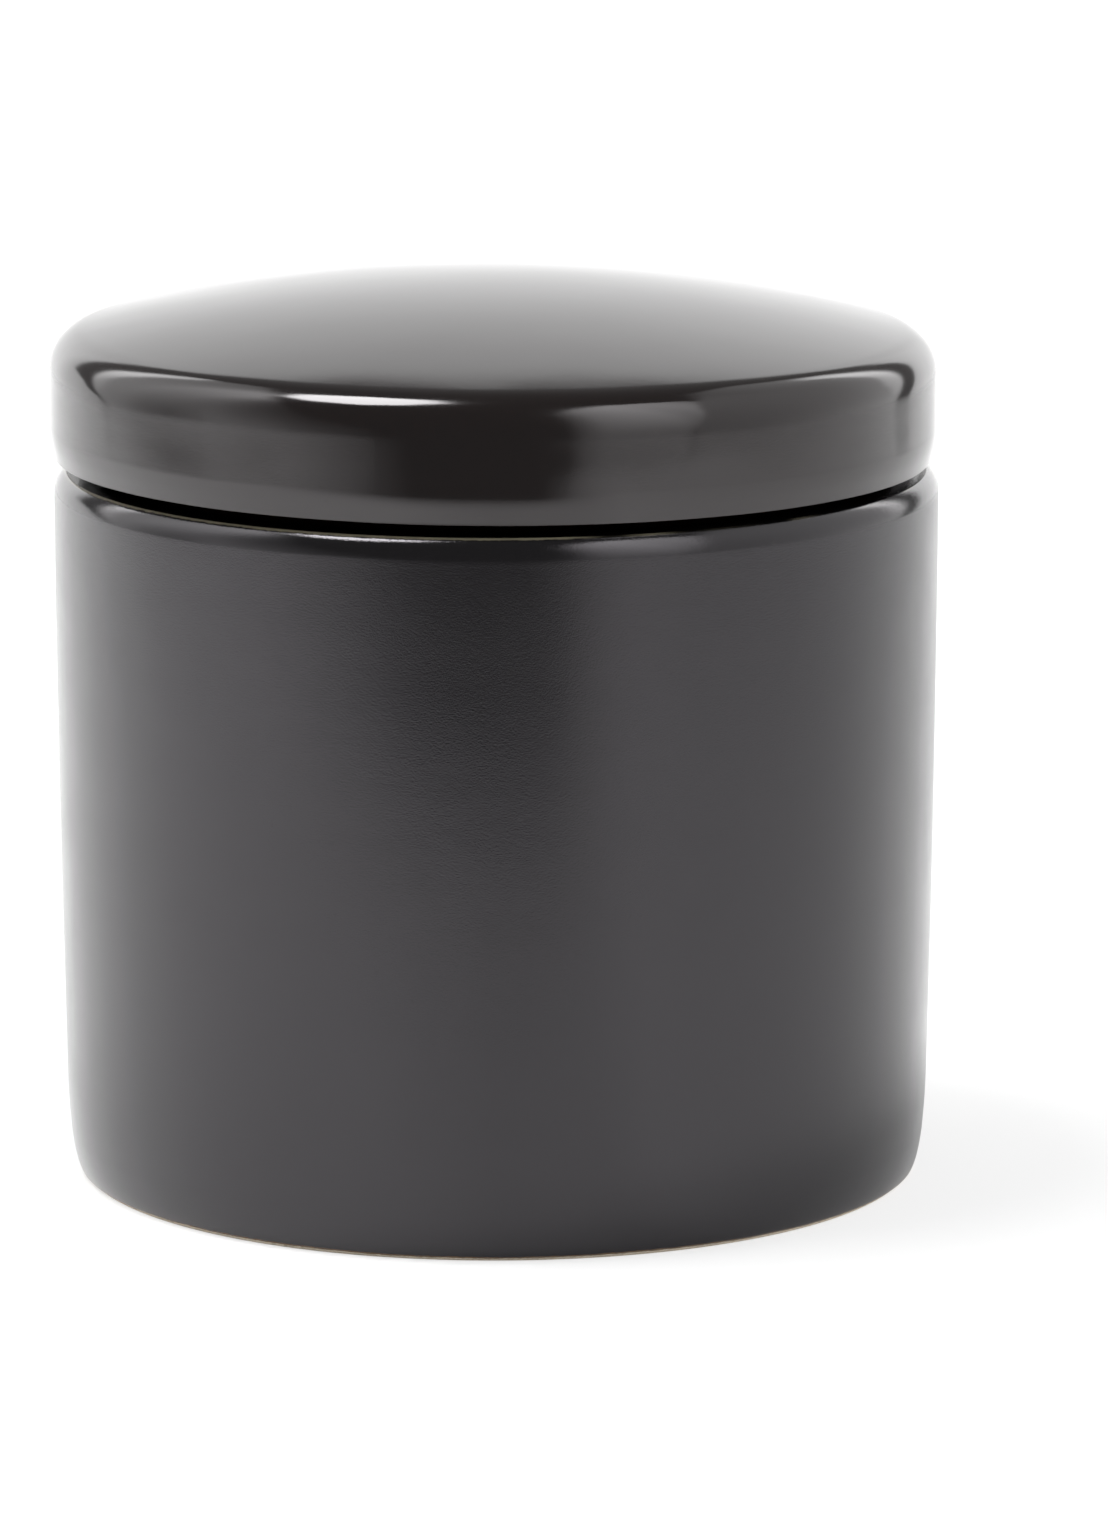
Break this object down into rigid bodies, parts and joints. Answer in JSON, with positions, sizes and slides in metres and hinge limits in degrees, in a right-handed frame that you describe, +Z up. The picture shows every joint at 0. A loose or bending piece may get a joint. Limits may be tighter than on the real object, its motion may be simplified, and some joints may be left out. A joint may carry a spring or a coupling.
{
  "type": "lidded candle jar",
  "caption": "Glazed stoneware candle jar with a low domed lift-off lid, silicone lid seal, poured wax and a tabbed braided wick.",
  "frame": {"origin": "centre of the foot ring's contact plane", "axes": "+Z up along the axis of the jar and lid"},
  "size_m": [0.0902, 0.0902, 0.0918],
  "materials": {
    "jar_glaze": "satin black glaze, bare cream clay on the foot",
    "lid_glaze": "semi-gloss black glaze, bare cream clay on the plug and seat",
    "silicone": "translucent, matt",
    "wax": "soft satin, slightly translucent",
    "cotton": "waxed cotton braid",
    "core_paper": "twisted paper thread",
    "tinned_steel": "bright tin plate",
    "adhesive_foam": "closed-cell foam"
  },
  "bodies": {
    "jar": {"jar": "jar_glaze", "wax": "wax", "wick_braid": "cotton", "wick_core": "core_paper", "wick_tab": "tinned_steel", "wick_sticker": "adhesive_foam"},
    "seal": {"lid_seal": "silicone"},
    "lid": {"lid": "lid_glaze"}
  },
  "joints": [
    {"name": "lid_lift", "type": "slide", "parent": "jar", "child": "seal", "axis": [0, 0, 1], "range_m": [0, 0.06]},
    {"name": "lid_turn", "type": "hinge", "parent": "seal", "child": "lid", "pos_m": [0, 0, 0.067], "axis": [0, 0, 1], "continuous": true}
  ]
}
